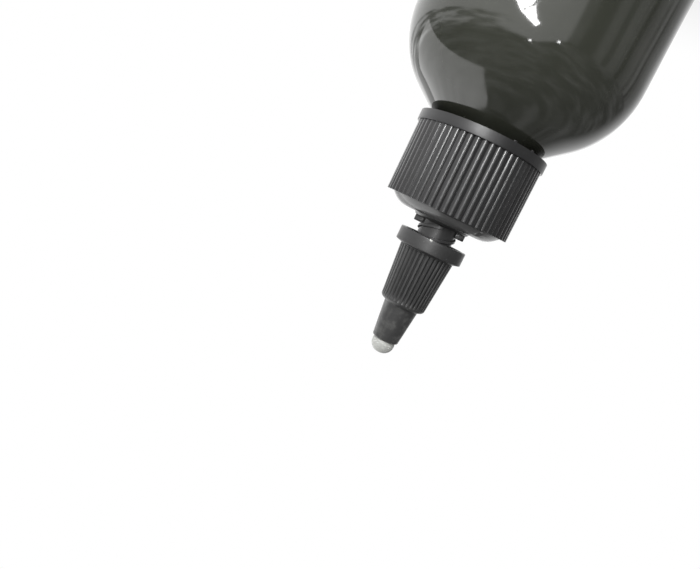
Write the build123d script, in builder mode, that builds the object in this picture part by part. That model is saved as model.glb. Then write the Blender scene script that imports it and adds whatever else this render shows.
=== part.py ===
# Squeeze bottle for chain lubricant with a ribbed screw cap and a twist-open nozzle.
# Millimetres, +Z up along the bottle's axis, origin at the centre of the base.
# The nozzle is modelled raised, in its open position.
from build123d import *
import math
import os

os.makedirs("parts", exist_ok=True)

# Bottle: blown body
body_r = 24.0
wall = 0.9
heel_r = 4.5
stand_ring_w = 3.0
push_up = 3.0
shoulder_r = 18.0
shoulder_cone_deg = 53.0
bottle_height = 112.0

# Bottle: neck finish
finish_h = 15.1
neck_r = 10.85
bore_r = 9.3
lip_r = 0.4
bead_r = 11.9
bead_h = 0.15
bead_slope_h = 0.8

# Lubricant in the bottle
fill_drop = 8.0
fill_clear = 0.05

# Sealing liner in the cap
liner_t = 1.0
liner_edge_clear = 0.25

# Screw cap
cap_h = 17.1
cap_bead_clear = 0.4
band_h = 2.05
band_proud = 0.4
cap_rib_r = 13.45
cap_rib_count = 54
cap_rib_round = 1.1
cap_rib_sink = 0.15
cap_bore_r = 12.15
dome_r = 11.4
dome_top_r = 6.4
dome_h = 1.85
dome_bulge = 0.35
deck_recess_r = 8.6
deck_recess_slope = 1.4
deck_t = 1.3

# Stem on the cap: collar with two lugs, twin helical cam ledges, sealing pin on spokes
collar_root_r = 6.3
collar_r = 5.85
collar_h = 0.55
lug_r = 5.6
lug_w = 2.2
lug_h = 1.25
stem_r = 3.9
stem_bore_r = 2.3
cam_h = 8.2
ledge_h = 0.4
ledge_w = 0.7
ledge_sink = 0.25
ledge_starts = 2
ledge_start_deg = 255.0
ledge_end_gap = 0.5
seal_stem_r = 3.2
seal_stem_h = 6.0
pin_r = 1.15
pin_root = 4.0
pin_end_r = 0.4
spoke_count = 3
spoke_t = 0.8
spoke_h = 2.5

# Twist nozzle
nozzle_lift = 3.6
nozzle_twist_deg = 240.0
closed_gap = 0.25
flange_r = 7.34
flange_h = 2.85
flange_edge_r = 0.35
flange_cone_h = 0.4
skirt_top_r = 5.95
skirt_end_r = 4.96
skirt_h = 11.9
skirt_edge_r = 0.8
skirt_step_h = 0.9
tip_root_r = 3.8
tip_end_r = 2.9
tip_h = 7.7
tip_edge_r = 0.4
orifice_r = 1.25
orifice_land = 2.0
nozzle_rib_count = 36
nozzle_groove_r = 0.3
nozzle_groove_d = 0.2
run_clear = 0.15
seal_clear = 0.1
end_clear = 0.3
follower_r = 0.6
follower_reach = 0.3
pin_end_below_tip = 0.15

# Bead of lubricant at the mouth
drop_r = 2.45
drop_h = 3.1

# Heights worked out from the sizes above
bead_z = bottle_height - finish_h
neck_root_z = bead_z - bead_h
shoulder_axis_r = body_r - shoulder_r
shoulder_cos = math.cos(math.radians(shoulder_cone_deg))
shoulder_sin = math.sin(math.radians(shoulder_cone_deg))
cone_r = shoulder_axis_r + shoulder_r * shoulder_cos
cone_z = neck_root_z - (cone_r - bead_r) * shoulder_cos / shoulder_sin
shoulder_z = cone_z - shoulder_r * shoulder_sin
stand_out_r = body_r - heel_r
stand_in_r = stand_out_r - stand_ring_w
push_up_r = (stand_in_r**2 + push_up**2) / (2 * push_up)
fill_z = shoulder_z - fill_drop
deck_z = bottle_height + liner_t
rib_axis_r = cap_rib_r - cap_rib_round
rib_half_gap = rib_axis_r * math.sin(math.pi / cap_rib_count)
valley_r = rib_axis_r * math.cos(math.pi / cap_rib_count) + math.sqrt(cap_rib_round**2 - rib_half_gap**2)
grip_r = valley_r - cap_rib_sink
cap_z = bead_z + cap_bead_clear
band_z = cap_z + band_h
rib_end_z = cap_z + cap_h
dome_z = rib_end_z + dome_h
collar_z = dome_z + collar_h
cam_z = collar_z + cam_h
stem_z = cam_z + seal_stem_h
cam_lead = nozzle_lift * 360 / nozzle_twist_deg
cam_pitch = cam_lead / ledge_starts
flange_z = dome_z + closed_gap + nozzle_lift
skirt_z = flange_z + flange_h + flange_cone_h
skirt_end_z = skirt_z + skirt_h
tip_root_z = skirt_end_z + skirt_step_h
tip_z = tip_root_z + tip_h
recess_r = collar_root_r + run_clear
recess_z = collar_z + lug_h + nozzle_lift + end_clear
cam_bore_r = stem_r + ledge_h + run_clear
cam_bore_z = cam_z + nozzle_lift + end_clear
seal_bore_r = seal_stem_r + seal_clear
seal_bore_z = stem_z + nozzle_lift + end_clear
pin_z = tip_z - nozzle_lift - pin_end_below_tip
drop_ball_r = (drop_r**2 + drop_h**2) / (2 * drop_h)
match_tol = 0.01


def arc_point(centre_r, centre_z, radius, degrees):
    """Point on a circle in the half-section, measured from the outward direction."""
    turn = math.radians(degrees)
    return (centre_r + radius * math.cos(turn), centre_z + radius * math.sin(turn))


def round_corner(section, radius, height, size):
    """Rounds one corner of a half-section before it is turned about the axis."""
    level = section.vertices().filter_by(lambda corner: abs(corner.Y - height) < match_tol)
    fillet(level.filter_by(lambda corner: abs(corner.X - radius) < match_tol), size)


def floor_and_wall(gap):
    """Inside of the blown body from the axis to the top of the straight wall."""
    skin = wall + gap
    centre_z = push_up - push_up_r
    rise = push_up_r + skin
    floor_mid = (stand_in_r / 2, centre_z + math.sqrt(rise**2 - (stand_in_r / 2) ** 2))
    floor_end = (stand_in_r, centre_z + math.sqrt(rise**2 - stand_in_r**2))
    ThreePointArc((0, push_up + skin), floor_mid, floor_end)
    Line(floor_end, (stand_out_r, skin))
    heel_mid = arc_point(stand_out_r, heel_r, heel_r - skin, -45)
    ThreePointArc((stand_out_r, skin), heel_mid, (body_r - skin, heel_r))


# Bottle: one blown piece with a pushed-up base, round shoulder, short cone and plain neck land
with BuildPart() as bottle:
    with BuildSketch(Plane.XZ) as outside:
        with BuildLine():
            base_mid_z = push_up - push_up_r + math.sqrt(push_up_r**2 - (stand_in_r / 2) ** 2)
            ThreePointArc((0, push_up), (stand_in_r / 2, base_mid_z), (stand_in_r, 0))
            Line((stand_in_r, 0), (stand_out_r, 0))
            heel_mid = arc_point(stand_out_r, heel_r, heel_r, -45)
            ThreePointArc((stand_out_r, 0), heel_mid, (body_r, heel_r))
            Line((body_r, heel_r), (body_r, shoulder_z))
            half_turn = shoulder_cone_deg / 2
            shoulder_mid = arc_point(shoulder_axis_r, shoulder_z, shoulder_r, half_turn)
            ThreePointArc((body_r, shoulder_z), shoulder_mid, (cone_r, cone_z))
            Polyline(
                (cone_r, cone_z),
                (bead_r, neck_root_z),
                (bead_r, bead_z),
                (neck_r, bead_z + bead_slope_h),
                (neck_r, bottle_height),
                (0, bottle_height),
                (0, push_up),
            )
        make_face()
        round_corner(outside, neck_r, bottle_height, lip_r)
    revolve(axis=Axis.Z)
    with BuildSketch(Plane.XZ):
        with BuildLine():
            floor_and_wall(0)
            inner_r = shoulder_r - wall
            inner_mid = arc_point(shoulder_axis_r, shoulder_z, inner_r, half_turn)
            inner_end = arc_point(shoulder_axis_r, shoulder_z, inner_r, shoulder_cone_deg)
            bore_root_z = inner_end[1] + (inner_end[0] - bore_r) * shoulder_cos / shoulder_sin
            Line((body_r - wall, heel_r), (body_r - wall, shoulder_z))
            ThreePointArc((body_r - wall, shoulder_z), inner_mid, inner_end)
            Polyline(
                inner_end,
                (bore_r, bore_root_z),
                (bore_r, bottle_height),
                (0, bottle_height),
                (0, push_up + wall),
            )
        make_face()
    revolve(axis=Axis.Z, mode=Mode.SUBTRACT)
bottle.part.label = "bottle"

# Lubricant: fills the straight part of the body
with BuildPart() as lubricant_fill:
    with BuildSketch(Plane.XZ):
        with BuildLine():
            floor_and_wall(fill_clear)
            Polyline(
                (body_r - wall - fill_clear, heel_r),
                (body_r - wall - fill_clear, fill_z),
                (0, fill_z),
                (0, push_up + wall + fill_clear),
            )
        make_face()
    revolve(axis=Axis.Z)
lubricant_fill.part.label = "lubricant_fill"

# Sealing liner: soft ring between the bottle's lip and the cap's deck
with BuildPart() as sealing_liner:
    with BuildSketch(Plane.XY.offset(bottle_height)):
        Circle(cap_bore_r - liner_edge_clear)
        Circle(bore_r, mode=Mode.SUBTRACT)
    extrude(amount=liner_t)
sealing_liner.part.label = "sealing_liner"

# Screw cap: ribbed skirt, domed deck, collar, hollow stem with cam ledges and pin, one moulding
with BuildPart() as screw_cap:
    with BuildSketch(Plane.XZ):
        with BuildLine():
            dome_mid_r = (dome_r + dome_top_r) / 2
            Polyline(
                (cap_bore_r, cap_z),
                (cap_rib_r + band_proud, cap_z),
                (cap_rib_r + band_proud, band_z),
                (grip_r, band_z),
                (grip_r, rib_end_z),
                (dome_r, rib_end_z),
            )
            ThreePointArc(
                (dome_r, rib_end_z),
                (dome_mid_r, rib_end_z + dome_h / 2 + dome_bulge),
                (dome_top_r, dome_z),
            )
            Polyline(
                (dome_top_r, dome_z),
                (collar_root_r, dome_z),
                (collar_r, collar_z),
                (stem_r, collar_z),
                (stem_r, cam_z),
                (seal_stem_r, cam_z),
                (seal_stem_r, stem_z),
                (stem_bore_r, stem_z),
                (stem_bore_r, dome_z - deck_t),
                (deck_recess_r - deck_recess_slope, dome_z - deck_t),
                (deck_recess_r, deck_z),
                (cap_bore_r, deck_z),
                (cap_bore_r, cap_z),
            )
        make_face()
    revolve(axis=Axis.Z)
    # Grip: round-faced ribs from the band to the deck, meeting in sharp valleys
    with BuildSketch(Plane.XY.offset(band_z)):
        with PolarLocations(rib_axis_r, cap_rib_count):
            Circle(cap_rib_round)
        Circle((cap_bore_r + grip_r) / 2, mode=Mode.SUBTRACT)
    extrude(amount=rib_end_z - band_z)
    # Collar lugs, seen on both sides of the stem
    with BuildSketch(Plane.XY.offset(collar_z)):
        Rectangle(2 * lug_r, lug_w)
        Circle((stem_r + stem_bore_r) / 2, mode=Mode.SUBTRACT)
    extrude(amount=lug_h)
    # Helical cam ledges that lift the nozzle as it turns
    ledge_z = collar_z + ledge_w / 2
    with BuildLine() as ledge_path:
        Helix(
            pitch=cam_lead,
            height=cam_h - ledge_w - ledge_end_gap,
            radius=stem_r,
            center=(0, 0, ledge_z),
        )
    with BuildSketch(Plane(origin=(stem_r, 0, ledge_z), x_dir=(1, 0, 0), z_dir=(0, 1, 0))):
        with Locations(((ledge_h - ledge_sink) / 2, 0)):
            Rectangle(ledge_h + ledge_sink, ledge_w)
    ledge = sweep(path=ledge_path.line, is_frenet=True, mode=Mode.PRIVATE)
    with PolarLocations(0, ledge_starts, start_angle=ledge_start_deg):
        add(ledge)
    # Sealing pin on spokes in the stem's bore
    with BuildSketch(Plane.XZ) as pin_section:
        with BuildLine():
            Polyline(
                (0, stem_z - pin_root),
                (pin_r, stem_z - pin_root),
                (pin_r, pin_z),
                (0, pin_z),
                (0, stem_z - pin_root),
            )
        make_face()
        round_corner(pin_section, pin_r, pin_z, pin_end_r)
    revolve(axis=Axis.Z)
    with BuildSketch(Plane.XY.offset(stem_z - pin_root)):
        with PolarLocations(0, spoke_count):
            with Locations(((stem_bore_r + seal_stem_r) / 4, 0)):
                Rectangle((stem_bore_r + seal_stem_r) / 2, spoke_t)
    extrude(amount=spoke_h)
screw_cap.part.label = "screw_cap"

# Twist nozzle: cup-like flange, ribbed grip and smooth tip, bored to ride on the stem
with BuildPart() as twist_nozzle:
    with BuildSketch(Plane.XZ) as nozzle_section:
        with BuildLine():
            Polyline(
                (recess_r, flange_z),
                (flange_r, flange_z),
                (flange_r, flange_z + flange_h),
                (skirt_top_r, skirt_z),
                (skirt_end_r, skirt_end_z),
                (tip_root_r, tip_root_z),
                (tip_end_r, tip_z),
                (orifice_r, tip_z),
                (orifice_r, tip_z - orifice_land),
                (seal_bore_r, seal_bore_z),
                (seal_bore_r, cam_bore_z),
                (cam_bore_r, cam_bore_z),
                (cam_bore_r, recess_z),
                (recess_r, recess_z),
                (recess_r, flange_z),
            )
        make_face()
        round_corner(nozzle_section, flange_r, flange_z, flange_edge_r)
        round_corner(nozzle_section, flange_r, flange_z + flange_h, flange_edge_r)
        round_corner(nozzle_section, skirt_end_r, skirt_end_z, skirt_edge_r)
        round_corner(nozzle_section, tip_end_r, tip_z, tip_edge_r)
    revolve(axis=Axis.Z)
    # Grip: grooves along the tapered skirt
    groove_out = nozzle_groove_r - nozzle_groove_d
    groove_foot = (skirt_top_r + groove_out, 0, skirt_z)
    groove_run = (skirt_end_r - skirt_top_r, 0, skirt_h)
    with BuildSketch(Plane(origin=groove_foot, z_dir=groove_run)):
        Circle(nozzle_groove_r)
    groove = extrude(amount=skirt_h + skirt_step_h, mode=Mode.PRIVATE)
    with PolarLocations(0, nozzle_rib_count):
        add(groove, mode=Mode.SUBTRACT)
    # Followers: two round lugs in the bore that ride between the cam ledges
    follower_z = recess_z + follower_r
    ledge_turn = (follower_z - ledge_z - cam_pitch / 2) / cam_lead * 360
    for start in range(ledge_starts):
        follower_deg = ledge_start_deg + ledge_turn + start * 360 / ledge_starts
        outward = Vector(1, 0, 0).rotate(Axis.Z, follower_deg)
        foot = outward * (cam_bore_r - follower_reach) + Vector(0, 0, follower_z)
        with BuildSketch(Plane(origin=foot, z_dir=outward)):
            Circle(follower_r)
        extrude(amount=2 * follower_reach)
twist_nozzle.part.label = "twist_nozzle"

# Bead of lubricant standing on the flat round the nozzle's mouth
with BuildPart() as lubricant_bead:
    with BuildSketch(Plane.XZ):
        with BuildLine():
            drop_centre_z = tip_z + drop_h - drop_ball_r
            drop_mid_z = drop_centre_z + math.sqrt(drop_ball_r**2 - (drop_r / 2) ** 2)
            ThreePointArc((drop_r, tip_z), (drop_r / 2, drop_mid_z), (0, tip_z + drop_h))
            Polyline((0, tip_z + drop_h), (0, tip_z), (drop_r, tip_z))
        make_face()
    revolve(axis=Axis.Z)
lubricant_bead.part.label = "lubricant_bead"

for piece in (bottle, lubricant_fill, sealing_liner, screw_cap, twist_nozzle, lubricant_bead):
    export_step(piece.part, f"parts/{piece.part.label}.step")
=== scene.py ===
import math

import bmesh
import bpy
from mathutils import Matrix, Vector


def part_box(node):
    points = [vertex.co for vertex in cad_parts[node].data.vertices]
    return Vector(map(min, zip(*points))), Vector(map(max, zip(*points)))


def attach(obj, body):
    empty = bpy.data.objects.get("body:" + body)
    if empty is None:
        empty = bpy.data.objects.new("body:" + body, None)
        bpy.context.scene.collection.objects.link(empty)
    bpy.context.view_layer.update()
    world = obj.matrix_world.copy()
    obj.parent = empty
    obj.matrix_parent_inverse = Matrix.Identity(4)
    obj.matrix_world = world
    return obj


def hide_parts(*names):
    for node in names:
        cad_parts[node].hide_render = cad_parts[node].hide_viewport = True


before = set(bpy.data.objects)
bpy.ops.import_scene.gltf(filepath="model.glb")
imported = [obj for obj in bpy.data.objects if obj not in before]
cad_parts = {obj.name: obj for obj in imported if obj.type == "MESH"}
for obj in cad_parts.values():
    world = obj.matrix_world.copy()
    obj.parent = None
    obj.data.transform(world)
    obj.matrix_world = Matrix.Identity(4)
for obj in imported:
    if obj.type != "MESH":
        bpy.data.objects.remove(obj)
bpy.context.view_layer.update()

# The bottle is one blown shell of black plastic: pushed-up base, straight body, round
# shoulder, short cone, and a neck with a screw thread.  The mould leaves it glossy and a
# little wavy, with a fine seam in the plane where the two mould halves met.
mm = 0.001
same_point = 1e-7
weld = 1e-6
body_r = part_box("bottle")[1].x
bottle_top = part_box("bottle")[1].z
blown_wall = 0.9 * mm
heel_round = 4.5 * mm
stand_ring_w = 3.0 * mm
stand_in_r = body_r - heel_round - stand_ring_w
push_up = 3.0 * mm
push_up_round = (stand_in_r**2 + push_up**2) / (2 * push_up)
shoulder_round = 18.0 * mm
shoulder_turn = math.radians(53)
neck_r = 10.85 * mm
neck_bore_r = 9.3 * mm
neck_bead_r = 11.9 * mm
finish_h = 15.1 * mm
neck_bead_z = bottle_top - finish_h
neck_ring_h = 0.15 * mm
neck_ring_taper = 0.2 * mm
neck_root_z = neck_bead_z - neck_ring_h
neck_slope = 0.8 * mm
neck_round = 0.4 * mm
lip_in_round = 0.2 * mm
bore_root_round = 0.5 * mm
thread_pitch = 3.175 * mm
thread_turns = 1.6
thread_start_deg = 200.0
thread_fade = 0.12
thread_profile = (
    (-0.2 * mm, 0.85 * mm), (0, 0.80 * mm), (0.945 * mm, 0.42 * mm), (1.05 * mm, 0.25 * mm),
)
neck_thread_z = neck_bead_z + 5.4 * mm
ridge_steps = 72
ridge_least = 0.03
bottle_sectors = 8
sector_steps = 20


def rounded(corners, longest=3.0 * mm, arc_step=math.radians(5)):
    """Half-section from corners (radius, height, rounding), with long runs divided."""
    points = []
    for index, corner in enumerate(corners):
        here = Vector(corner[:2])
        if len(corner) == 2:
            points.append(here)
            continue
        back = (Vector(corners[index - 1][:2]) - here).normalized()
        ahead = (Vector(corners[(index + 1) % len(corners)][:2]) - here).normalized()
        bend = math.pi - back.angle(ahead)
        middle = here + (back + ahead).normalized() * (corner[2] / math.cos(bend / 2))
        first = here + back * corner[2] * math.tan(bend / 2) - middle
        side = 1 if back.x * ahead.y < back.y * ahead.x else -1
        count = max(3, math.ceil(bend / arc_step))
        for step in range(count + 1):
            turn = side * bend * step / count
            turned = (
                first.x * math.cos(turn) - first.y * math.sin(turn),
                first.x * math.sin(turn) + first.y * math.cos(turn),
            )
            points.append(middle + Vector(turned))
    run = [points[0]]
    for point in points[1:]:
        start = run[-1]
        gap = (point - start).length
        if gap > same_point:
            pieces = math.ceil(gap / longest)
            run += [start.lerp(point, step / pieces) for step in range(1, pieces + 1)]
    return run


def unique(parts):
    """Parts of a mesh in the order met, each once."""
    return list(dict.fromkeys(parts))


def spin_outline(bm, outline, sectors, steps, closed=False):
    """Turns a half-section through one sector, repeats it round the axis, and closes it."""
    others = set(bm.verts)
    verts = [bm.verts.new((max(point.x, 0), 0, point.y)) for point in outline]
    edges = [bm.edges.new(pair) for pair in zip(verts, verts[1:])]
    if closed:
        edges.append(bm.edges.new((verts[-1], verts[0])))
    sector = 2 * math.pi / sectors
    bmesh.ops.spin(
        bm, geom=verts + edges, axis=(0, 0, 1), cent=(0, 0, 0), angle=sector, steps=steps
    )
    verts = [vert for vert in bm.verts if vert not in others]
    edges = unique(edge for vert in verts for edge in vert.link_edges)
    faces = unique(face for vert in verts for face in vert.link_faces)
    bmesh.ops.spin(
        bm, geom=[*verts, *edges, *faces], axis=(0, 0, 1), cent=(0, 0, 0),
        angle=2 * math.pi - sector, steps=sectors - 1, use_duplicate=True,
    )
    made = [vert for vert in bm.verts if vert not in others]
    bmesh.ops.remove_doubles(bm, verts=made, dist=weld)
    return [vert for vert in bm.verts if vert not in others]


def helical_ridge(bm, profile, face_r, middle_z, lead, turns, start_deg, fade):
    """Winds a ridge up a right-handed helix, with faded ends.

    The profile runs from foot to crest: the rise from the face, and half the width there.
    """
    others = set(bm.verts)
    section = [(face_r + rise, middle_z - half) for rise, half in profile]
    section += [(face_r + rise, middle_z + half) for rise, half in reversed(profile)]
    foot_r = face_r + profile[0][0] / 2
    verts = [bm.verts.new((radius, 0, height)) for radius, height in section]
    edges = [bm.edges.new((verts[i - 1], verts[i])) for i in range(len(verts))]
    steps = round(turns * ridge_steps)
    bmesh.ops.spin(
        bm, geom=verts + edges, axis=(0, 0, 1), cent=(0, 0, 0),
        angle=turns * 2 * math.pi, steps=steps, dvec=(0, 0, lead * turns / steps),
    )
    ridge = [vert for vert in bm.verts if vert not in others]
    for vert in ridge:
        turn = math.atan2(vert.co.y, vert.co.x) / (2 * math.pi)
        turn += round((vert.co.z - middle_z) / lead - turn)
        rise = min(1.0, max(ridge_least, min(turn, turns - turn) / fade))
        radius = math.hypot(vert.co.x, vert.co.y)
        wanted = foot_r + (radius - foot_r) * rise * (2 - rise)
        vert.co.x *= wanted / radius
        vert.co.y *= wanted / radius
    ends = unique(edge for vert in ridge for edge in vert.link_edges if edge.is_boundary)
    bmesh.ops.holes_fill(bm, edges=ends, sides=len(section))
    turned = Matrix.Rotation(math.radians(start_deg), 3, "Z")
    bmesh.ops.rotate(bm, verts=ridge, cent=(0, 0, 0), matrix=turned)


def make_piece(bm, name, node, body, material, sharp_deg=38.0):
    """Closes a bmesh into a piece that stands for a CAD node and rides on its body."""
    bmesh.ops.recalc_face_normals(bm, faces=list(bm.faces))
    mesh = bpy.data.meshes.new(name)
    bm.to_mesh(mesh)
    bm.free()
    mesh.shade_smooth()
    mesh.set_sharp_from_angle(angle=math.radians(sharp_deg))
    mesh.materials.append(material)
    piece = bpy.data.objects.new(name, mesh)
    bpy.context.scene.collection.objects.link(piece)
    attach(piece, body)
    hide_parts(node)


def place(tree, kind, inputs=None, **settings):
    """Adds a node: settings are its properties, inputs are sockets or plain values."""
    made = tree.nodes.new(kind)
    for name, value in settings.items():
        setattr(made, name, value)
    for name, value in (inputs or {}).items():
        if isinstance(value, bpy.types.NodeSocket):
            tree.links.new(value, made.inputs[name])
        else:
            made.inputs[name].default_value = value
    return made


def new_group(name, inputs, outputs):
    """Starts a shader node group and returns its tree, its inputs and its outputs."""
    tree = bpy.data.node_groups.new(name, "ShaderNodeTree")
    kind = "NodeSocketFloat"
    for label, value in inputs.items():
        socket = tree.interface.new_socket(label, in_out="INPUT", socket_type=kind)
        socket.default_value = value
    for label in outputs:
        tree.interface.new_socket(label, in_out="OUTPUT", socket_type=kind)
    given = tree.nodes.new("NodeGroupInput").outputs
    return tree, given, tree.nodes.new("NodeGroupOutput").inputs


def new_material(name):
    """A material with only its Principled shader and output, ready for its own nodes."""
    material = bpy.data.materials.new(name)
    material.use_nodes = True
    tree = material.node_tree
    tree.nodes.clear()
    shader = tree.nodes.new("ShaderNodeBsdfPrincipled")
    output = tree.nodes.new("ShaderNodeOutputMaterial")
    tree.links.new(shader.outputs[0], output.inputs["Surface"])
    return material, tree, shader


def object_place(tree):
    """Where a point lies on its piece, in metres."""
    return place(tree, "ShaderNodeTexCoord").outputs["Object"]


def axes(tree, where):
    """The X, Y and Z of a point or a direction."""
    return place(tree, "ShaderNodeSeparateXYZ", {0: where}).outputs


def worked(tree, operation, first, second=0.0):
    """One step of arithmetic in a node tree."""
    return place(tree, "ShaderNodeMath", {0: first, 1: second}, operation=operation).outputs[0]


def ramp(tree, value, low, high, to_low=0.0, to_high=1.0):
    """Smooth step of a value from one range to another."""
    return place(
        tree, "ShaderNodeMapRange",
        {"Value": value, "From Min": low, "From Max": high, "To Min": to_low, "To Max": to_high},
        interpolation_type="SMOOTHSTEP",
    ).outputs[0]


def noise(tree, where, scale, detail=2.0, roughness=0.5):
    """Cloudy noise on a point or a direction."""
    return place(
        tree, "ShaderNodeTexNoise",
        {"Vector": where, "Scale": scale, "Detail": detail, "Roughness": roughness},
    ).outputs[0]


def tinted(tree, mask, under, over):
    """One colour laid over another where the mask is high."""
    return place(
        tree, "ShaderNodeMix", {0: mask, 6: under, 7: over}, data_type="RGBA"
    ).outputs[2]


def bump(tree, shader, height):
    """Lets a height in metres bend the shading of a surface."""
    bent = place(tree, "ShaderNodeBump", {"Height": height, "Distance": 1.0})
    tree.links.new(bent.outputs[0], shader.inputs["Normal"])


# Skin of moulded plastic: fine grain from the mould's face, and slow waves from cooling
mould_skin, skin_in, skin_out = new_group(
    "mould_skin",
    {
        "Grain Scale": 6000.0, "Grain Height": 0.004 * mm,
        "Wave Scale": 60.0, "Wave Height": 0.02 * mm,
    },
    ["Height"],
)
skin_place = object_place(mould_skin)
skin_grain = noise(mould_skin, skin_place, skin_in["Grain Scale"])
skin_wave = noise(mould_skin, skin_place, skin_in["Wave Scale"], detail=1.0)
grain_height = worked(mould_skin, "MULTIPLY", skin_grain, skin_in["Grain Height"])
wave_height = worked(mould_skin, "MULTIPLY", skin_wave, skin_in["Wave Height"])
mould_skin.links.new(worked(mould_skin, "ADD", grain_height, wave_height), skin_out["Height"])

# Marks of handling: cloudy finger marks and thin scuffs
smudge_range = (0.48, 0.72)
scuff_range = (0.64, 0.74)
scuff_turn = (0.5, 0.3, 0.2)
scuff_stretch = (1.0, 1.0, 0.08)
handling, marks_in, marks_out = new_group(
    "handling", {"Smudge Scale": 70.0, "Scuff Scale": 260.0}, ["Smudge", "Scuff"]
)
marks_place = object_place(handling)
smudge_cloud = noise(
    handling, marks_place, marks_in["Smudge Scale"], detail=5.0, roughness=0.62
)
scuff_place = place(
    handling, "ShaderNodeMapping",
    {"Vector": marks_place, "Rotation": scuff_turn, "Scale": scuff_stretch},
).outputs[0]
scuff_lines = noise(handling, scuff_place, marks_in["Scuff Scale"], detail=3.0)
handling.links.new(ramp(handling, smudge_cloud, *smudge_range), marks_out["Smudge"])
handling.links.new(ramp(handling, scuff_lines, *scuff_range), marks_out["Scuff"])

bottle_black = (0.024, 0.0255, 0.0195, 1)
bottle_dust = (0.060, 0.062, 0.053, 1)
bottle_rough = 0.07
smudge_dulls = 0.10
scuff_dulls = 0.12
smudge_dust = 0.22
seam_half_w = 0.12 * mm
seam_height = 0.03 * mm
bottle_gloss, tree, shader = new_material("bottle_gloss")
skin = place(
    tree, "ShaderNodeGroup",
    {
        "Grain Scale": 1500.0, "Grain Height": 0.0006 * mm,
        "Wave Scale": 62.0, "Wave Height": 0.16 * mm,
    },
    node_tree=mould_skin,
).outputs
marks = place(
    tree, "ShaderNodeGroup", {"Smudge Scale": 55.0, "Scuff Scale": 190.0}, node_tree=handling
).outputs
off_seam = worked(tree, "ABSOLUTE", axes(tree, object_place(tree))["Y"])
seam_line = ramp(tree, off_seam, 0.0, seam_half_w, seam_height, 0.0)
bump(tree, shader, worked(tree, "ADD", skin["Height"], seam_line))
dulled = worked(
    tree, "ADD", worked(tree, "MULTIPLY", marks["Smudge"], smudge_dulls),
    worked(tree, "MULTIPLY", marks["Scuff"], scuff_dulls),
)
dusty = worked(tree, "MULTIPLY", marks["Smudge"], smudge_dust)
tree.links.new(tinted(tree, dusty, bottle_black, bottle_dust), shader.inputs["Base Color"])
tree.links.new(worked(tree, "ADD", dulled, bottle_rough), shader.inputs["Roughness"])
shader.inputs["IOR"].default_value = 1.57

cone_r = body_r - shoulder_round * (1 - math.cos(shoulder_turn))
cone_z = neck_root_z - (cone_r - neck_bead_r) / math.tan(shoulder_turn)
shoulder_z = cone_z - shoulder_round * math.sin(shoulder_turn)
shoulder_corner_z = shoulder_z + shoulder_round * math.tan(shoulder_turn / 2)
inner_round = shoulder_round - blown_wall
inner_r = body_r - blown_wall
inner_cone_r = inner_r - inner_round * (1 - math.cos(shoulder_turn))
inner_cone_z = shoulder_z + inner_round * math.sin(shoulder_turn)
inner_corner_z = shoulder_z + inner_round * math.tan(shoulder_turn / 2)
bore_root_z = inner_cone_z + (inner_cone_r - neck_bore_r) / math.tan(shoulder_turn)
push_up_corner_r = push_up_round * math.tan(math.asin(stand_in_r / push_up_round) / 2)
floor_round = push_up_round + blown_wall
floor_edge_z = push_up - push_up_round + math.sqrt(floor_round**2 - stand_in_r**2)
floor_corner_r = floor_round * math.tan(math.asin(stand_in_r / floor_round) / 2)
bottle_outline = rounded([
    (0, push_up),
    (push_up_corner_r, push_up, push_up_round),
    (stand_in_r, 0),
    (body_r, 0, heel_round),
    (body_r, shoulder_corner_z, shoulder_round),
    (neck_bead_r, neck_root_z),
    (neck_bead_r - neck_ring_taper, neck_bead_z),
    (neck_r, neck_bead_z + neck_slope, neck_round),
    (neck_r, bottle_top, neck_round),
    (neck_bore_r, bottle_top, lip_in_round),
    (neck_bore_r, bore_root_z, bore_root_round),
    (inner_r, inner_corner_z, inner_round),
    (inner_r, blown_wall, heel_round - blown_wall),
    (stand_in_r, floor_edge_z),
    (floor_corner_r, push_up + blown_wall, floor_round),
    (0, push_up + blown_wall),
], arc_step=math.radians(4))
bm = bmesh.new()
helical_ridge(
    bm, thread_profile, neck_r, neck_thread_z, thread_pitch, thread_turns, thread_start_deg,
    thread_fade,
)
spin_outline(bm, bottle_outline, bottle_sectors, sector_steps)
make_piece(bm, "blown_bottle", "bottle", "bottle", bottle_gloss)

# The lubricant is a milky, wax-like liquid.  It fills most of the straight body, and a bead
# of it stands at the nozzle's mouth, as it does when the bottle has just been squeezed.
lubricant_white = (0.45, 0.455, 0.435, 1)
lubricant_thin = (0.40, 0.405, 0.385, 1)
lubricant_rough = (0.45, 0.55)
swirl_scale = 350.0
swirl_range = (0.35, 0.7)
ripple_height = 0.006 * mm
milky_lubricant, tree, shader = new_material("milky_lubricant")
liquid_cloud = noise(tree, object_place(tree), swirl_scale)
swirl = ramp(tree, liquid_cloud, *swirl_range)
bump(tree, shader, worked(tree, "MULTIPLY", liquid_cloud, ripple_height))
liquid_colour = tinted(tree, swirl, lubricant_white, lubricant_thin)
tree.links.new(liquid_colour, shader.inputs["Base Color"])
tree.links.new(ramp(tree, swirl, 0.0, 1.0, *lubricant_rough), shader.inputs["Roughness"])
shader.inputs["Subsurface Weight"].default_value = 0.2
shader.inputs["Subsurface Radius"].default_value = (1.0, 0.95, 0.85)
shader.inputs["Subsurface Scale"].default_value = 0.8 * mm
shader.inputs["IOR"].default_value = 1.42
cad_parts["lubricant_fill"].data.materials.clear()
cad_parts["lubricant_fill"].data.materials.append(milky_lubricant)

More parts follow.
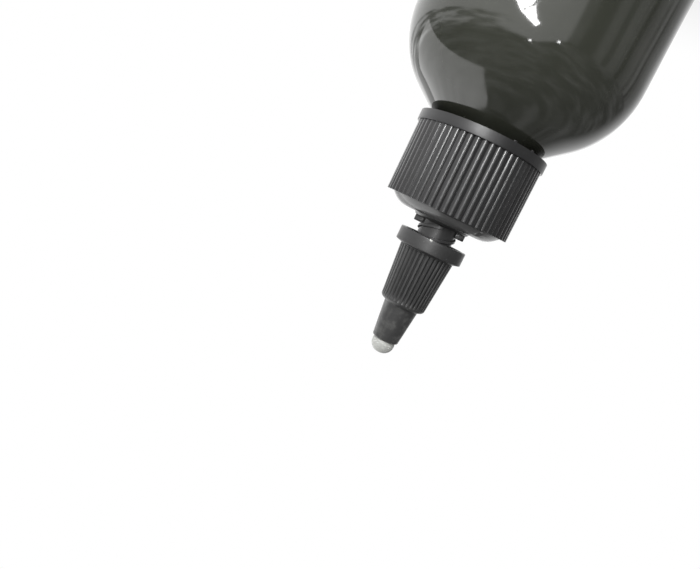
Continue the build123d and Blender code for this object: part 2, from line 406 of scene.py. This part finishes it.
bead_low, bead_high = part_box("lubricant_bead")
bead_r = bead_high.x
bead_foot_r = bead_r * 0.93
bead_side_z = bead_low.z + (bead_high.z - bead_low.z) * 0.18
bead_side_round = bead_r * 0.6
bead_top_round = bead_r * 0.9
bead_sectors = 8
bead_steps = 8
bead_outline = rounded([
    (0, bead_low.z),
    (bead_foot_r, bead_low.z),
    (bead_r, bead_side_z, bead_side_round),
    (bead_r, bead_high.z, bead_top_round),
    (0, bead_high.z),
], longest=0.3 * mm, arc_step=math.radians(6))
bm = bmesh.new()
spin_outline(bm, bead_outline, bead_sectors, bead_steps)
make_piece(bm, "mouth_bead", "lubricant_bead", "bead", milky_lubricant)

# The liner is a soft ring punched from white foam sheet.  It is pushed up against the deck
# inside the cap, and the bottle's lip presses into it.
foam_white = (0.80, 0.80, 0.78, 1)
foam_shade = (0.62, 0.62, 0.60, 1)
foam_rough = (0.75, 0.95)
foam_scale = 4200.0
foam_wall_range = (0.15, 0.75)
foam_wall_height = 0.03 * mm
liner_foam, tree, shader = new_material("liner_foam")
foam_cells = place(
    tree, "ShaderNodeTexVoronoi", {"Vector": object_place(tree), "Scale": foam_scale}
).outputs[0]
cell_walls = ramp(tree, foam_cells, *foam_wall_range)
bump(tree, shader, worked(tree, "MULTIPLY", cell_walls, foam_wall_height))
tree.links.new(tinted(tree, cell_walls, foam_shade, foam_white), shader.inputs["Base Color"])
tree.links.new(ramp(tree, foam_cells, 0.0, 1.0, *foam_rough), shader.inputs["Roughness"])
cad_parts["sealing_liner"].data.materials.clear()
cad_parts["sealing_liner"].data.materials.append(liner_foam)

# The screw cap is one moulding in satin black plastic, screwed on the neck: a smooth band, a
# ribbed grip, a domed deck, and the collar and hollow stem that the nozzle rides on.  Two
# helical ledges on the stem lift the nozzle, and a pin on spokes shuts the nozzle's mouth.
cap_low, cap_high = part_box("screw_cap")
cap_z = cap_low.z
band_z = cap_z + 2.05 * mm
rib_end_z = cap_z + 17.1 * mm
dome_z = rib_end_z + 1.85 * mm
collar_z = dome_z + 0.55 * mm
cam_z = collar_z + 8.2 * mm
stem_z = cam_z + 6.0 * mm
pin_z = cap_high.z
deck_z = bottle_top + 1.0 * mm
band_r = cap_high.x
band_round = 0.12 * mm
grip_r = band_r - 0.4 * mm
cap_bore_r = 12.15 * mm
cap_mouth_round = 0.08 * mm
dome_r = 12.1 * mm
dome_bend_r = 9.9 * mm
dome_bend_z = rib_end_z + 1.95 * mm
dome_round = 4.5 * mm
dome_top_r = 6.4 * mm
recess_z = dome_z - 1.3 * mm
recess_r = 7.2 * mm
recess_root_r = 8.6 * mm
collar_root_r = 6.3 * mm
collar_r = 5.85 * mm
collar_round = 0.1 * mm
lug_root_r = 3.1 * mm
lug_r = 5.6 * mm
lug_half_w = 1.1 * mm
lug_h = 1.25 * mm
lug_sunk = 0.2 * mm
lug_edge = 0.18 * mm
stem_r = 3.9 * mm
seal_stem_r = 3.2 * mm
stem_bore_r = 2.3 * mm
stem_round = 0.2 * mm
stem_end_round = 0.25 * mm
stem_bore_round = 0.15 * mm
grip_ribs = 54
grip_rib_round = 1.1 * mm
grip_depth_most = 0.3 * mm
steps_per_rib = 16
rib_runout = 0.7 * mm
cam_lead = 5.4 * mm
ledge_z = collar_z + 0.35 * mm
ledge_climb = 7.0 * mm
ledge_starts_deg = (255.0, 75.0)
ledge_fade = 0.02
ledge_profile = ((-0.2 * mm, 0.35 * mm), (0.32 * mm, 0.35 * mm), (0.40 * mm, 0.27 * mm))
cap_thread_z = neck_thread_z + thread_pitch / 2
cap_thread_turns = 1.4
cap_thread_profile = ((0.2 * mm, 0.70 * mm), (0, 0.65 * mm), (-0.95 * mm, 0.28 * mm))
pin_r = 1.15 * mm
pin_root_z = stem_z - 4.0 * mm
pin_end_round = 0.4 * mm
pin_sectors = 8
pin_steps = 6
spoke_in_r = 0.5 * mm
spoke_out_r = 2.75 * mm
spoke_half_t = 0.4 * mm
spoke_top_z = stem_z - 1.5 * mm
patchy_rub = (0.35, 1.0)
scuff_rub = 0.6
smudge_satin_dulls = 0.08
proud_dulls = 0.16
proud_from = 0.1 * mm
proud_full = 0.3 * mm


def round_rib(off, surface):
    """How far a round-faced rib falls away at an angle from its crest."""
    axis_r = surface - grip_rib_round
    face = math.sqrt(grip_rib_round**2 - (axis_r * math.sin(off)) ** 2)
    return surface - axis_r * math.cos(off) - face


def press_grip(verts, count, sunk, grip_radius, low, high):
    """Sinks the vertices between two heights to a rib profile, run out below the upper one."""
    for vert in verts:
        radius = math.hypot(vert.co.x, vert.co.y)
        surface = grip_radius(vert.co.z)
        if not low - same_point <= vert.co.z <= high + same_point:
            continue
        if abs(radius - surface) > grip_depth_most:
            continue
        off = math.remainder(math.atan2(vert.co.y, vert.co.x), 2 * math.pi / count)
        run_out = min(1.0, (high - vert.co.z) / rib_runout)
        wanted = radius - sunk(off, surface) * run_out * (2 - run_out)
        vert.co.x *= wanted / radius
        vert.co.y *= wanted / radius


def add_block(bm, low, high, turn_deg=0.0, edge=0.0):
    """A block between two corners, with its edges broken, turned about the axis."""
    size = Vector(high) - Vector(low)
    centre = (Vector(high) + Vector(low)) / 2
    turn = Matrix.Rotation(math.radians(turn_deg), 4, "Z")
    made = bmesh.ops.create_cube(
        bm, size=1.0, matrix=turn @ Matrix.Translation(centre) @ Matrix.Diagonal((*size, 1))
    )["verts"]
    if edge:
        edges = unique(line for vert in made for line in vert.link_edges)
        bmesh.ops.bevel(
            bm, geom=edges, offset=edge, affect="EDGES", segments=3, profile=0.5, material=-1
        )


def satin_black(name, grip_low, grip_high, dullness):
    """Satin moulded plastic with a mask of wear, highest where the grip is rubbed.

    The rubbing grows between two radii, and what stands further out is duller.
    """
    material, tree, shader = new_material(name)
    skin = place(
        tree, "ShaderNodeGroup",
        {
            "Grain Scale": 5200.0, "Grain Height": 0.003 * mm,
            "Wave Scale": 240.0, "Wave Height": 0.012 * mm,
        },
        node_tree=mould_skin,
    ).outputs
    marks = place(
        tree, "ShaderNodeGroup", {"Smudge Scale": 130.0, "Scuff Scale": 420.0},
        node_tree=handling,
    ).outputs
    where = object_place(tree)
    flat = place(
        tree, "ShaderNodeVectorMath", {0: where, 1: (1, 1, 0)}, operation="MULTIPLY"
    ).outputs[0]
    radius = place(
        tree, "ShaderNodeVectorMath", {0: flat}, operation="LENGTH"
    ).outputs["Value"]
    rubbed = ramp(tree, radius, grip_low, grip_high)
    patchy = ramp(tree, marks["Smudge"], 0.0, 1.0, *patchy_rub)
    scuffed = worked(tree, "MULTIPLY", marks["Scuff"], scuff_rub)
    worn = worked(tree, "ADD", worked(tree, "MULTIPLY", rubbed, patchy), scuffed)
    proud = ramp(
        tree, radius, grip_high + proud_from, grip_high + proud_full,
        dullness, dullness + proud_dulls,
    )
    smudged = worked(tree, "MULTIPLY", marks["Smudge"], smudge_satin_dulls)
    tree.links.new(worked(tree, "ADD", smudged, proud), shader.inputs["Roughness"])
    bump(tree, shader, skin["Height"])
    shader.inputs["IOR"].default_value = 1.49
    return material, tree, shader, where, radius, worn


# The grip is rubbed, and the deck is painted lighter: painted fill light on the shaded collar and
# stem, and brighter painted bounce light on the dome, as from a white table below
plastic_black = (0.012, 0.012, 0.0123, 1)
plastic_rubbed = (0.017, 0.017, 0.0175, 1)
collar_painted_fill = (0.042, 0.042, 0.042, 1)
dome_painted_bounce = (0.068, 0.068, 0.068, 1)
painted_light_deck_z = (rib_end_z + 0.05 * mm, rib_end_z + 0.3 * mm)
painted_light_dome_r = (collar_root_r + 0.1 * mm, collar_root_r + 0.4 * mm)
cap_rub_depth = 0.25 * mm
cap_dullness = 0.20
cap_satin, tree, shader, where, radius, worn = satin_black(
    "cap_satin", grip_r - cap_rub_depth, grip_r, cap_dullness
)
cap_black = tinted(tree, worn, plastic_black, plastic_rubbed)
# Painted light: above its ribs the cap is painted grey in place of the light that falls there
on_deck = ramp(tree, axes(tree, where)["Z"], *painted_light_deck_z)
on_dome = ramp(tree, radius, *painted_light_dome_r)
painted_deck_light = tinted(tree, on_dome, collar_painted_fill, dome_painted_bounce)
tree.links.new(tinted(tree, on_deck, cap_black, painted_deck_light), shader.inputs["Base Color"])

cap_outline = rounded([
    (cap_bore_r, cap_z, cap_mouth_round),
    (band_r, cap_z),
    (band_r, band_z, band_round),
    (grip_r, band_z),
    (grip_r, rib_end_z),
    (dome_r, rib_end_z),
    (dome_bend_r, dome_bend_z, dome_round),
    (dome_top_r, dome_z),
    (collar_root_r, dome_z),
    (collar_r, collar_z, collar_round),
    (stem_r, collar_z, stem_round),
    (stem_r, cam_z, stem_round),
    (seal_stem_r, cam_z, stem_round),
    (seal_stem_r, stem_z, stem_end_round),
    (stem_bore_r, stem_z, stem_bore_round),
    (stem_bore_r, recess_z),
    (recess_r, recess_z),
    (recess_root_r, deck_z),
    (cap_bore_r, deck_z),
], longest=1.6 * mm, arc_step=math.radians(15))
bm = bmesh.new()
for lug_deg in (0.0, 180.0):
    add_block(
        bm, (lug_root_r, -lug_half_w, collar_z - lug_sunk), (lug_r, lug_half_w, collar_z + lug_h),
        turn_deg=lug_deg, edge=lug_edge,
    )
for ledge_deg in ledge_starts_deg:
    helical_ridge(
        bm, ledge_profile, stem_r, ledge_z, cam_lead, ledge_climb / cam_lead, ledge_deg,
        ledge_fade,
    )
helical_ridge(
    bm, cap_thread_profile, cap_bore_r, cap_thread_z, thread_pitch, cap_thread_turns,
    thread_start_deg, thread_fade,
)
pin_outline = rounded([
    (0, pin_root_z), (pin_r, pin_root_z), (pin_r, pin_z, pin_end_round), (0, pin_z),
])
spin_outline(bm, pin_outline, pin_sectors, pin_steps)
for spoke_deg in (0.0, 120.0, 240.0):
    add_block(
        bm, (spoke_in_r, -spoke_half_t, pin_root_z), (spoke_out_r, spoke_half_t, spoke_top_z),
        turn_deg=spoke_deg,
    )
# Two torn nibs are left on the band's edge, where the tamper ring broke away
nib_low = (13.35 * mm, -0.35 * mm, cap_z - 0.30 * mm)
nib_high = (13.8 * mm, 0.35 * mm, cap_z + 0.2 * mm)
nib_edge = 0.12 * mm
for nib_deg in (-114.0, -133.0):
    add_block(bm, nib_low, nib_high, turn_deg=nib_deg, edge=nib_edge)
# The gate mark is a small nub in a round hollow, where the plastic ran into the mould
gate_turn = Matrix.Rotation(math.radians(-132), 4, "Z")
gate_outward = gate_turn @ Vector((1, 0, 0))
gate_middle = gate_turn @ Vector((11.0 * mm, 0, rib_end_z + 0.94 * mm))
gate_reach = 0.9 * mm
gate_sink = 0.3 * mm
gate_cut_reach = 2.5 * gate_reach
gate_cut_z = rib_end_z + 0.1 * mm
gate_rows = 7
nub_r = 0.35 * mm
nub_end_r = 0.25 * mm
nub_h = 0.5 * mm
nub_sunk = 0.3 * mm
cone_sides = 24
bmesh.ops.create_cone(
    bm, cap_ends=True, segments=cone_sides, radius1=nub_r, radius2=nub_end_r, depth=nub_h,
    matrix=Matrix.Translation(gate_middle - Vector((0, 0, nub_sunk))),
)
cap_verts = spin_outline(bm, cap_outline, grip_ribs, steps_per_rib, closed=True)
# The cap's ribs go on to the deck at full depth, so their run-out lies past it
press_grip(
    cap_verts, grip_ribs, round_rib, lambda height: grip_r, band_z, rib_end_z + rib_runout
)
gate_faces = unique(
    face for vert in cap_verts
    if vert.co.z > gate_cut_z and (vert.co - gate_middle).length < gate_cut_reach
    for face in vert.link_faces
)
gate_parts = unique(part for face in gate_faces for part in (face, *face.edges, *face.verts))
for row in range(-gate_rows, gate_rows + 1):
    cut_at = gate_middle + gate_outward * gate_reach * row / gate_rows
    gate_parts = bmesh.ops.bisect_plane(
        bm, geom=gate_parts, plane_co=cut_at, plane_no=gate_outward
    )["geom"]
for vert in (part for part in gate_parts if isinstance(part, bmesh.types.BMVert)):
    share = min(1.0, (vert.co - gate_middle).xy.length / gate_reach)
    vert.co.z -= gate_sink * (1 - share**2) ** 2
make_piece(bm, "ribbed_cap", "screw_cap", "cap", cap_satin)

# The twist nozzle is one moulding in the same satin black: a cup-like flange, a tapered
# grip with fine ribs, and a smooth tip.  It is snapped over the stem, where two followers
# in its bore ride the ledges.  Lubricant has dried on it, and painted shade darkens the deep part
# of its grooves.
nozzle_low, nozzle_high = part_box("twist_nozzle")
flange_z = nozzle_low.z
tip_z = nozzle_high.z
flange_r = nozzle_high.x
flange_h = 2.85 * mm
flange_round = 0.2 * mm
skirt_z = flange_z + 3.25 * mm
skirt_end_z = skirt_z + 11.9 * mm
tip_root_z = skirt_end_z + 0.5 * mm
skirt_top_r = 5.95 * mm
skirt_top_round = 0.12 * mm
skirt_end_r = 4.96 * mm
skirt_end_round = 0.8 * mm
tip_root_r = 3.8 * mm
tip_root_round = 0.3 * mm
tip_end_r = 2.9 * mm
tip_end_round = 0.4 * mm
mouth_r = 1.25 * mm
mouth_round = 0.15 * mm
mouth_length = 2.0 * mm
bore_end_gap = 3.9 * mm
cup_r = collar_root_r + 0.15 * mm
cup_round = 0.15 * mm
cup_z = collar_z + lug_h + bore_end_gap
cam_bore_r = 4.45 * mm
cam_bore_z = cam_z + bore_end_gap
seal_bore_r = 3.3 * mm
seal_bore_z = stem_z + bore_end_gap
follower_r = 0.6 * mm
follower_length = 0.6 * mm
nozzle_ribs = 36
nozzle_groove_r = 0.30 * mm
nozzle_groove_d = 0.20 * mm
groove_start_z = skirt_z + 0.05 * mm
groove_end_z = skirt_end_z - 0.3 * mm


def skirt_radius(height):
    """The tapered grip's radius at a height."""
    share = (height - skirt_z) / (skirt_end_z - skirt_z)
    return skirt_top_r + (skirt_end_r - skirt_top_r) * share


def round_groove(off, surface):
    """How deep a round groove is at an angle from its middle."""
    across = min(surface * abs(math.sin(off)), nozzle_groove_r)
    arc = math.sqrt(nozzle_groove_r**2 - across**2)
    return max(0.0, nozzle_groove_d - nozzle_groove_r + arc)


nozzle_black = (0.033, 0.033, 0.033, 1)
nozzle_rubbed = (0.022, 0.022, 0.022, 1)
smear_white = (0.088, 0.088, 0.085, 1)
groove_painted_shade = (0.006, 0.006, 0.006, 1)
nozzle_rub_depth = 0.3 * mm
nozzle_dullness = 0.36
smear_scale = 420.0
smear_range = (0.44, 0.70, 0.0, 0.8)
smear_z = (skirt_end_z - 1.5 * mm, tip_root_z + 0.5 * mm)
mouth_smear_range = (0.40, 0.55)
mouth_smear_z = (tip_z - 0.5 * mm, tip_z)
rim_fleck = (0.37 * mm, -7.2 * mm, flange_z + 0.1 * mm)
fleck_ragged = 0.9 * mm
fleck_edge = (0.64 * mm, 0.80 * mm, 1.0, 0.0)
groove_shade_start_z = (skirt_z - 0.05 * mm, skirt_z + 0.05 * mm)
groove_shade_end_z = skirt_end_z - 0.5 * mm
groove_shade_fade = 0.2 * mm
groove_shade_depth = (0.08 * mm, 0.18 * mm)
nozzle_satin, tree, shader, where, radius, worn = satin_black(
    "nozzle_satin", flange_r - nozzle_rub_depth, flange_r, nozzle_dullness
)
height = axes(tree, where)["Z"]
near_mouth = ramp(tree, height, *mouth_smear_z)
on_tip = ramp(tree, height, *smear_z)
cloud = noise(tree, where, smear_scale, detail=4.0, roughness=0.6)
smeared = worked(tree, "MULTIPLY", on_tip, ramp(tree, cloud, *smear_range))
at_mouth = worked(tree, "MULTIPLY", near_mouth, ramp(tree, cloud, *mouth_smear_range))
residue = worked(tree, "MAXIMUM", smeared, at_mouth)
# A small white spot is painted in the lubricant's colour on the flange's rim by the stem
from_fleck = place(
    tree, "ShaderNodeVectorMath", {0: where, 1: rim_fleck}, operation="DISTANCE"
).outputs["Value"]
ragged = worked(tree, "MULTIPLY", cloud, fleck_ragged)
fleck = ramp(tree, worked(tree, "ADD", from_fleck, ragged), *fleck_edge)
skirt_face = place(
    tree, "ShaderNodeMapRange",
    {
        "Value": height, "From Min": skirt_z, "From Max": groove_shade_end_z,
        "To Min": skirt_top_r, "To Max": skirt_radius(groove_shade_end_z),
    },
).outputs[0]
# Painted shade: the deep part of each skirt groove is painted near-black, where shade falls
groove_depth = worked(tree, "SUBTRACT", skirt_face, radius)
before_end = ramp(tree, height, groove_shade_end_z - groove_shade_fade, groove_shade_end_z, 1.0, 0.0)
past_start = ramp(tree, height, *groove_shade_start_z)
on_skirt = worked(tree, "MULTIPLY", before_end, past_start)
groove_shaded = worked(tree, "MULTIPLY", on_skirt, ramp(tree, groove_depth, *groove_shade_depth))
rubbed_black = tinted(tree, worn, nozzle_black, nozzle_rubbed)
groove_shaded_black = tinted(tree, groove_shaded, rubbed_black, groove_painted_shade)
smeared_black = tinted(tree, residue, groove_shaded_black, smear_white)
tree.links.new(tinted(tree, fleck, smeared_black, lubricant_white), shader.inputs["Base Color"])

nozzle_outline = rounded([
    (cup_r, flange_z, cup_round),
    (flange_r, flange_z, flange_round),
    (flange_r, flange_z + flange_h, flange_round),
    (skirt_top_r, skirt_z, skirt_top_round),
    (skirt_end_r, skirt_end_z, skirt_end_round),
    (tip_root_r, tip_root_z, tip_root_round),
    (tip_end_r, tip_z, tip_end_round),
    (mouth_r, tip_z, mouth_round),
    (mouth_r, tip_z - mouth_length),
    (seal_bore_r, seal_bore_z),
    (seal_bore_r, cam_bore_z),
    (cam_bore_r, cam_bore_z),
    (cam_bore_r, cup_z),
    (cup_r, cup_z),
], longest=1.0 * mm, arc_step=math.radians(12))
bm = bmesh.new()
for follower_deg in (165.0, 345.0):
    outward = Matrix.Rotation(math.radians(follower_deg), 4, "Z")
    seat = Matrix.Translation((cam_bore_r, 0, cup_z + follower_r))
    bmesh.ops.create_cone(
        bm, cap_ends=True, segments=cone_sides, radius1=follower_r, radius2=follower_r,
        depth=follower_length, matrix=outward @ seat @ Matrix.Rotation(math.pi / 2, 4, "Y"),
    )
nozzle_verts = spin_outline(bm, nozzle_outline, nozzle_ribs, steps_per_rib, closed=True)
press_grip(
    nozzle_verts, nozzle_ribs, round_groove, skirt_radius, groove_start_z, groove_end_z
)
make_piece(bm, "ribbed_nozzle", "twist_nozzle", "nozzle", nozzle_satin)

# The studio: a white floor that runs out to a white surround, the room that the gloss
# mirrors, a window in three panes with two small lamps, a wide glow as from a white table
# under the bottle as it is held in the photograph, and the photograph's camera.
stripe_scale = 5.0
stripe_range = (0.40, 0.62, 0.14, 0.50)
open_side_x = (-0.50, -0.42)
window_by_y = (-0.9, -0.2, 1.75, 1.7)
window_by_x = (-0.5, 0.2, 0.78, 1.0)
behind_y = (0.30, 0.95)
room_front, front_in, front_out = new_group("room_front", {"X": 0.0, "Y": -1.0}, ["Level"])
front_way = place(
    room_front, "ShaderNodeCombineXYZ", {"X": front_in["X"], "Y": front_in["Y"]}
).outputs[0]
stripes = ramp(room_front, noise(room_front, front_way, stripe_scale, detail=3.0), *stripe_range)
open_side = ramp(room_front, front_in["X"], *open_side_x)
toward_window = worked(
    room_front, "MULTIPLY", ramp(room_front, front_in["Y"], *window_by_y),
    ramp(room_front, front_in["X"], *window_by_x),
)
front_level = place(
    room_front, "ShaderNodeMix", {0: open_side, 2: stripes, 3: toward_window}
).outputs[0]
behind = ramp(room_front, front_in["Y"], *behind_y)
room_front.links.new(worked(room_front, "MAXIMUM", front_level, behind), front_out["Level"])

# Near the part the floor is paint that takes its shadow, and further out it only glows
floor_half = 3.0
floor_white = (0.90, 0.90, 0.90, 1)
plain_white = (1, 1, 1, 1)
glow_reach = (0.06, 0.20)
floor_paint = bpy.data.materials.new("floor_paint")
floor_paint.use_nodes = True
tree = floor_paint.node_tree
tree.nodes.clear()
seen = place(tree, "ShaderNodeLightPath").outputs
shown = worked(tree, "MAXIMUM", seen["Is Camera Ray"], seen["Is Transmission Ray"])
direct = worked(tree, "MAXIMUM", shown, seen["Is Glossy Ray"])
floor_place = object_place(tree)
reach = place(
    tree, "ShaderNodeVectorMath", {0: floor_place}, operation="LENGTH"
).outputs["Value"]
glowing = worked(tree, "MULTIPLY", direct, ramp(tree, reach, *glow_reach))
paint = place(tree, "ShaderNodeBsdfDiffuse", {"Color": floor_white}).outputs[0]
floor_way = place(
    tree, "ShaderNodeVectorMath", {0: floor_place}, operation="NORMALIZE"
).outputs[0]
floor_axes = axes(tree, floor_way)
floor_room = place(
    tree, "ShaderNodeGroup", {"X": floor_axes["X"], "Y": floor_axes["Y"]}, node_tree=room_front
).outputs["Level"]
not_shown = worked(tree, "SUBTRACT", 1.0, shown)
floor_level = worked(tree, "ADD", shown, worked(tree, "MULTIPLY", not_shown, floor_room))
glow = place(
    tree, "ShaderNodeEmission", {"Color": plain_white, "Strength": floor_level}
).outputs[0]
mixed = place(tree, "ShaderNodeMixShader", {0: glowing, 1: paint, 2: glow}).outputs[0]
place(tree, "ShaderNodeOutputMaterial", {"Surface": mixed})
bm = bmesh.new()
bmesh.ops.create_grid(bm, x_segments=1, y_segments=1, size=floor_half)
floor_mesh = bpy.data.meshes.new("floor")
bm.to_mesh(floor_mesh)
bm.free()
floor_mesh.materials.append(floor_paint)
floor = bpy.data.objects.new("floor", floor_mesh)
bpy.context.scene.collection.objects.link(floor)

# The surround is white where it shows, a striped room in the gloss, and soft light elsewhere
backdrop_y = (0.42, 0.90)
lintel_z = (0.20, 0.28, 1.0, 0.0)
slant_share = 0.6
slant_edge = (0.24, 0.32, 1.0, 0.0)
streak_turn = (0.4, 0.7, 0.5)
streak_stretch = (1.2, 1.2, 7.0)
streak_scale = 2.2
streak_range = (0.35, 0.75, 0.16, 0.50)
clutter_x = (0.30, 0.55)
clutter_range = (0.40, 0.60, 0.75, 0.0)
soft_level = 0.38
world = bpy.data.worlds.new("white_surround")
bpy.context.scene.world = world
world.use_nodes = True
tree = world.node_tree
tree.nodes.clear()
seen = place(tree, "ShaderNodeLightPath").outputs
shown = worked(tree, "MAXIMUM", seen["Is Camera Ray"], seen["Is Transmission Ray"])
toward = place(tree, "ShaderNodeTexCoord").outputs["Generated"]
toward_axes = axes(tree, toward)
backdrop = ramp(tree, toward_axes["Y"], *backdrop_y)
room = place(
    tree, "ShaderNodeGroup", {"X": toward_axes["X"], "Y": toward_axes["Y"]}, node_tree=room_front
).outputs["Level"]
under_lintel = ramp(tree, toward_axes["Z"], *lintel_z)
slope = worked(tree, "MULTIPLY", toward_axes["X"], slant_share)
under_slant = ramp(tree, worked(tree, "SUBTRACT", toward_axes["Z"], slope), *slant_edge)
streak_place = place(
    tree, "ShaderNodeMapping",
    {"Vector": toward, "Rotation": streak_turn, "Scale": streak_stretch},
).outputs[0]
streak_cloud = noise(tree, streak_place, streak_scale, detail=4.0)
streaks = ramp(tree, streak_cloud, *streak_range)
clutter = ramp(tree, toward_axes["X"], *clutter_x)
hidden = worked(tree, "MULTIPLY", clutter, ramp(tree, streak_cloud, *clutter_range))
low_front = worked(tree, "MULTIPLY", room, worked(tree, "MULTIPLY", under_lintel, under_slant))
low_front = worked(tree, "MULTIPLY", low_front, worked(tree, "SUBTRACT", 1.0, hidden))
mirrored = worked(tree, "MAXIMUM", worked(tree, "MAXIMUM", backdrop, low_front), streaks)
glossy_level = worked(tree, "MULTIPLY", seen["Is Glossy Ray"], mirrored)
not_glossy = worked(tree, "SUBTRACT", 1.0, seen["Is Glossy Ray"])
other_level = worked(tree, "MULTIPLY", not_glossy, soft_level)
room_level = worked(tree, "MAXIMUM", shown, worked(tree, "MAXIMUM", glossy_level, other_level))
surround = place(tree, "ShaderNodeBackground", {"Color": plain_white, "Strength": room_level})
place(tree, "ShaderNodeOutputWorld", {"Surface": surround.outputs[0]})

# Each lamp is a flat face: one corner, that corner's two neighbours, and its brightness
part_middle = Vector((0, 0, 0.1))
lamps = {
    "table_glow": (
        (0.165, -0.18, 0.42), (0.985, 0.35, 0.155), (-0.12, 0.38, 0.74), 1.6,
    ),
    "window_pane": (
        (0.0524, -0.1628, 0.0523), (0.0818, -0.1412, 0.0218), (0.0213, -0.1666, 0.0375), 34.0,
    ),
    "window_end": (
        (0.1335, -0.3947, 0.0061), (0.0135, -0.4235, 0.0738), (0.1163, -0.397, -0.0254), 45.0,
    ),
    "window_fill": (
        (0.0243, -0.1652, 0.0324), (0.0103, -0.1717, 0.0564), (0.0428, -0.1625, 0.0432), 34.0,
    ),
    "small_lamp_1": (
        (0.0005, -0.169, 0.1175), (0.0065, -0.169, 0.1195), (0.0005, -0.169, 0.1235), 22.0,
    ),
    "small_lamp_2": (
        (-0.0625, -0.161, 0.0875), (-0.0565, -0.163, 0.0885), (-0.0625, -0.161, 0.0935), 22.0,
    ),
}
for name, (corner, wide_end, tall_end, level) in lamps.items():
    along = Vector(wide_end) - Vector(corner)
    across = Vector(tall_end) - Vector(corner)
    across -= across.project(along)
    lamp = bpy.data.lights.new(name, "AREA")
    lamp.shape = "RECTANGLE"
    lamp.size = along.length
    lamp.size_y = across.length
    lamp.energy = level * math.pi * lamp.size * lamp.size_y
    holder = bpy.data.objects.new(name, lamp)
    bpy.context.scene.collection.objects.link(holder)
    middle = Vector(corner) + (along + across) / 2
    away = along.cross(across).normalized()
    if away.dot(part_middle - middle) > 0:
        away = -away
    wide_axis = along.normalized()
    holder.matrix_world = Matrix.Translation(middle) @ Matrix(
        (wide_axis, away.cross(wide_axis), away)
    ).transposed().to_4x4()
    holder.visible_camera = False

# The camera stands where the photograph's outlines place it, rolled as the bottle is held
camera_lens = 31.65
camera_place = (0.0, -0.13057, 0.11593)
camera_yaw = math.radians(5.187)
camera_pitch = math.radians(8.942)
camera_roll = math.radians(205.356)
view_along = Vector((
    math.sin(camera_yaw) * math.cos(camera_pitch),
    math.cos(camera_yaw) * math.cos(camera_pitch),
    math.sin(camera_pitch),
))
level_right = Vector((math.cos(camera_yaw), -math.sin(camera_yaw), 0))
level_up = level_right.cross(view_along)
view_right = math.cos(camera_roll) * level_right + math.sin(camera_roll) * level_up
view_up = math.cos(camera_roll) * level_up - math.sin(camera_roll) * level_right
camera_data = bpy.data.cameras.new("photo_camera")
camera_data.sensor_width = 36.0
camera_data.lens = camera_lens
camera_data.clip_start = 0.01
camera = bpy.data.objects.new("photo_camera", camera_data)
bpy.context.scene.collection.objects.link(camera)
camera.matrix_world = Matrix.Translation(camera_place) @ Matrix(
    (view_right, view_up, -view_along)
).transposed().to_4x4()
bpy.context.scene.camera = camera
bpy.context.scene.view_settings.view_transform = "Standard"

bpy.context.view_layer.update()
